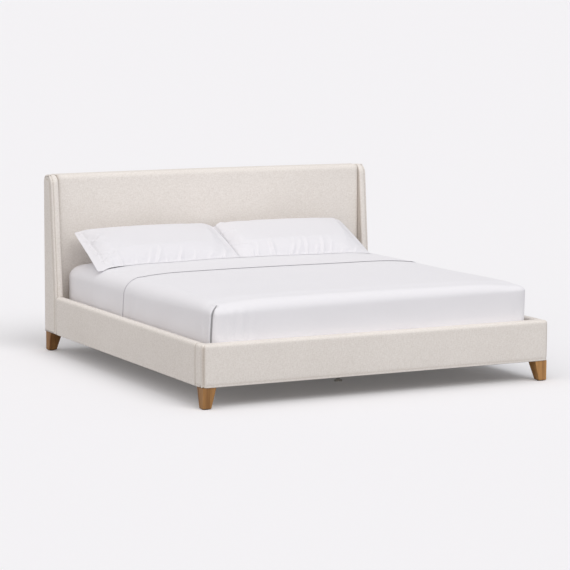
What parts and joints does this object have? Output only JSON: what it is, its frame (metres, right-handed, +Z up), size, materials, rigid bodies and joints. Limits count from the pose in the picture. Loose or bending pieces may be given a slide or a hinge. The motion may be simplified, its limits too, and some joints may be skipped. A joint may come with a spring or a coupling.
{
  "type": "upholstered bed",
  "caption": "Low king bed in woven upholstery: plain padded headboard between forward wings, slim padded rails, tapered wooden legs, slatted base, mattress with white bedding and long pillows",
  "frame": {"origin": "on the floor, under the middle of the bed's box", "axes": "X runs across the bed, left to right as seen from the foot; Y runs from the foot to the headboard; Z is up"},
  "size_m": [2.118, 2.22, 1.058],
  "materials": {
    "frame_timber": "sawn pine, unfinished",
    "face_board": "plywood, unfinished",
    "upholstery": "ivory woven fabric over foam",
    "back_lining": "plain woven lining on thin board",
    "slat_timber": "planed pine with eased edges",
    "tape": "flat woven webbing",
    "bracket_steel": "black powder coat",
    "leg_oak": "solid oak, clear satin lacquer",
    "glide_plastic": "dark moulded plastic",
    "foot_plastic": "black moulded plastic with a steel stem",
    "bolt_steel": "zinc-plated steel",
    "screw_steel": "yellow zinc-plated steel",
    "mattress_ticking": "knitted ticking over foam and springs",
    "fitted_cotton": "plain white cotton",
    "flat_cotton": "plain white cotton",
    "pillow_fill": "fibre filling in a white cotton cover",
    "case_cotton": "plain white cotton"
  },
  "bodies": {
    "bed_frame": {"beam_bracket_foot": "bracket_steel", "beam_bracket_head": "bracket_steel", "centre_beam": "frame_timber", "centre_leg_1": "frame_timber", "centre_leg_2": "frame_timber", "centre_leg_3": "frame_timber", "corner_brackets": "bracket_steel", "foot_rail": "frame_timber", "foot_rail_cover": "upholstery", "frame_bolts": "bolt_steel", "headboard_back_cover": "back_lining", "headboard_bottom_rail": "frame_timber", "headboard_cushion": "upholstery", "headboard_face_board": "face_board", "headboard_stile_left": "frame_timber", "headboard_stile_right": "frame_timber", "headboard_top_rail": "frame_timber", "joining_plates": "bracket_steel", "leg_bolts": "bolt_steel", "leg_foot_left": "leg_oak", "leg_foot_right": "leg_oak", "leg_glides": "glide_plastic", "leg_head_left": "leg_oak", "leg_head_right": "leg_oak", "side_rail_cover_left": "upholstery", "side_rail_cover_right": "upholstery", "side_rail_left": "frame_timber", "side_rail_right": "frame_timber", "slat_01": "slat_timber", "slat_02": "slat_timber", "slat_03": "slat_timber", "slat_04": "slat_timber", "slat_05": "slat_timber", "slat_06": "slat_timber", "slat_07": "slat_timber", "slat_08": "slat_timber", "slat_09": "slat_timber", "slat_10": "slat_timber", "slat_11": "slat_timber", "slat_12": "slat_timber", "slat_cleat_left": "frame_timber", "slat_cleat_right": "frame_timber", "slat_tapes": "tape", "wing_bolts": "bolt_steel", "wing_core_left": "frame_timber", "wing_core_right": "frame_timber", "wing_cover_left": "upholstery", "wing_cover_right": "upholstery", "wood_screws": "screw_steel"},
    "mattress_and_sheets": {"mattress": "mattress_ticking", "fitted_sheet": "fitted_cotton", "flat_sheet": "flat_cotton"},
    "pillow_unit_left": {"pillow_left": "pillow_fill", "pillowcase_left": "case_cotton"},
    "pillow_unit_right": {"pillow_right": "pillow_fill", "pillowcase_right": "case_cotton"},
    "foot_unit_1": {"levelling_foot_1": "foot_plastic"},
    "foot_unit_2": {"levelling_foot_2": "foot_plastic"},
    "foot_unit_3": {"levelling_foot_3": "foot_plastic"}
  },
  "joints": [
    {"name": "mattress_lift", "type": "slide", "parent": "bed_frame", "child": "mattress_and_sheets", "axis": [0, 0, 1], "range_m": [0, 0.25]},
    {"name": "pillow_lift_left", "type": "slide", "parent": "mattress_and_sheets", "child": "pillow_unit_left", "axis": [0, 0, 1], "range_m": [0, 0.3]},
    {"name": "pillow_lift_right", "type": "slide", "parent": "mattress_and_sheets", "child": "pillow_unit_right", "axis": [0, 0, 1], "range_m": [0, 0.3]},
    {"name": "foot_height_1", "type": "slide", "parent": "bed_frame", "child": "foot_unit_1", "axis": [0, 0, 1], "range_m": [0, 0.015]},
    {"name": "foot_height_2", "type": "slide", "parent": "bed_frame", "child": "foot_unit_2", "axis": [0, 0, 1], "range_m": [0, 0.015]},
    {"name": "foot_height_3", "type": "slide", "parent": "bed_frame", "child": "foot_unit_3", "axis": [0, 0, 1], "range_m": [0, 0.015]}
  ]
}
